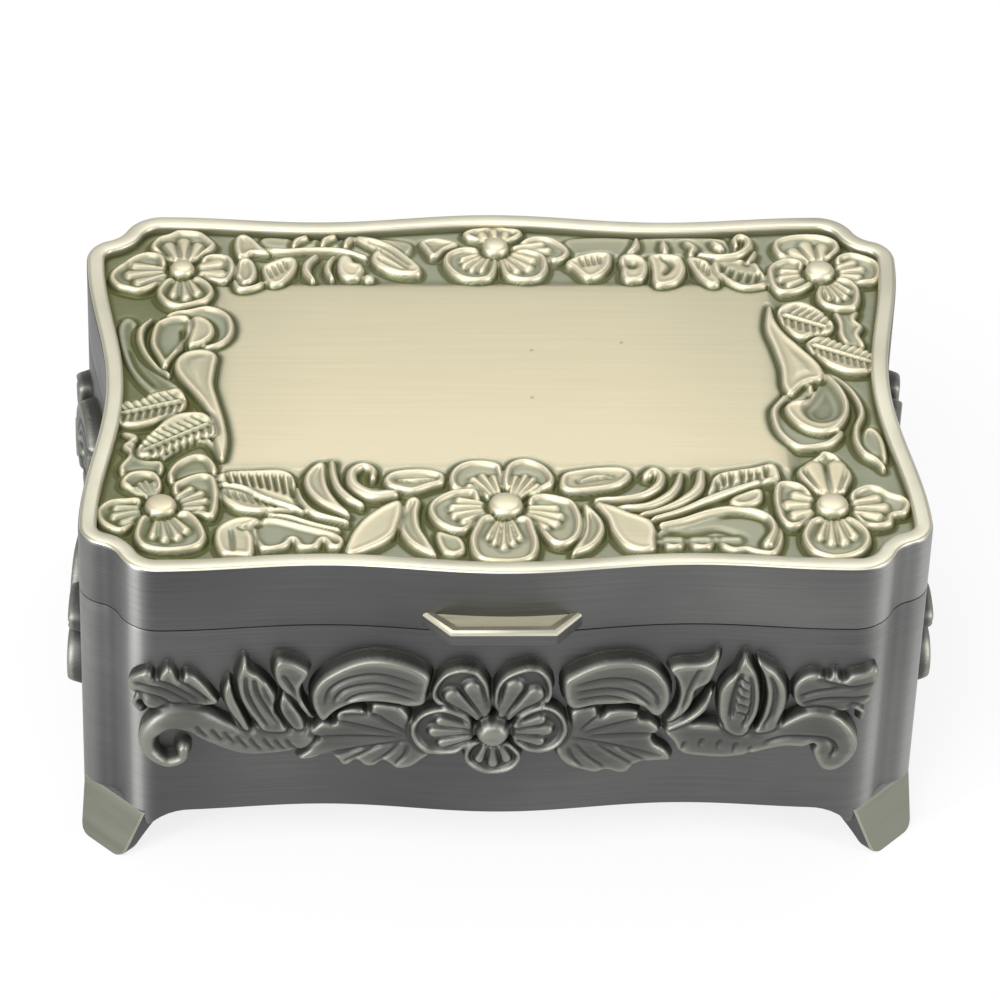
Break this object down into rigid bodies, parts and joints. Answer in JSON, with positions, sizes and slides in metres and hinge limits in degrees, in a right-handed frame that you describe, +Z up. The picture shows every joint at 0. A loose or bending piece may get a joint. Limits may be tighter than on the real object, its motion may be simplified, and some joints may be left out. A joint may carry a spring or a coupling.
{
  "type": "rosary box",
  "caption": "Serpentine cast-metal box with floral scroll relief, corner feet, a hinged lid with a lifting tab and a padded velvet lining, for a rosary or keepsakes.",
  "frame": {"origin": "centre of the box's plan, on the ground under the feet", "axes": "+X along the box's width, to the right of the tab; +Y from the tab to the hinge; +Z up"},
  "size_m": [0.1066, 0.0774, 0.0474],
  "materials": {
    "pewter": "antiqued pewter plate over cast zinc alloy, fine horizontal brushing, dark in the recesses",
    "old_silver": "antiqued silver relief, worn bright on the high points and dark in the hollows",
    "cream_silver": "warm pale silver, satin brushed",
    "steel": "plain drawn steel",
    "card": "grey-brown backing card",
    "velvet": "wine red velvet"
  },
  "bodies": {
    "box": {"body_shell": "pewter", "base_plate": "pewter", "foot_front_left": "old_silver", "foot_front_right": "old_silver", "foot_back_left": "old_silver", "foot_back_right": "old_silver", "front_relief": "old_silver", "back_relief": "old_silver", "left_relief": "old_silver", "right_relief": "old_silver", "hinge_body_leaf": "old_silver", "hinge_pin": "steel", "body_rivets": "steel", "floor_card": "card", "floor_pad": "velvet", "lining_front": "velvet", "lining_back": "velvet", "lining_left": "velvet", "lining_right": "velvet"},
    "lid": {"lid_shell": "pewter", "lid_relief": "cream_silver", "front_tab": "cream_silver", "hinge_lid_leaf": "old_silver", "lid_rivets": "steel", "lid_card": "card", "lid_pad": "velvet"}
  },
  "joints": [
    {"name": "lid_hinge", "type": "hinge", "parent": "box", "child": "lid", "pos_m": [0, 0.03665, 0.037], "axis": [-1, 0, 0], "range_deg": [0, 100]}
  ]
}
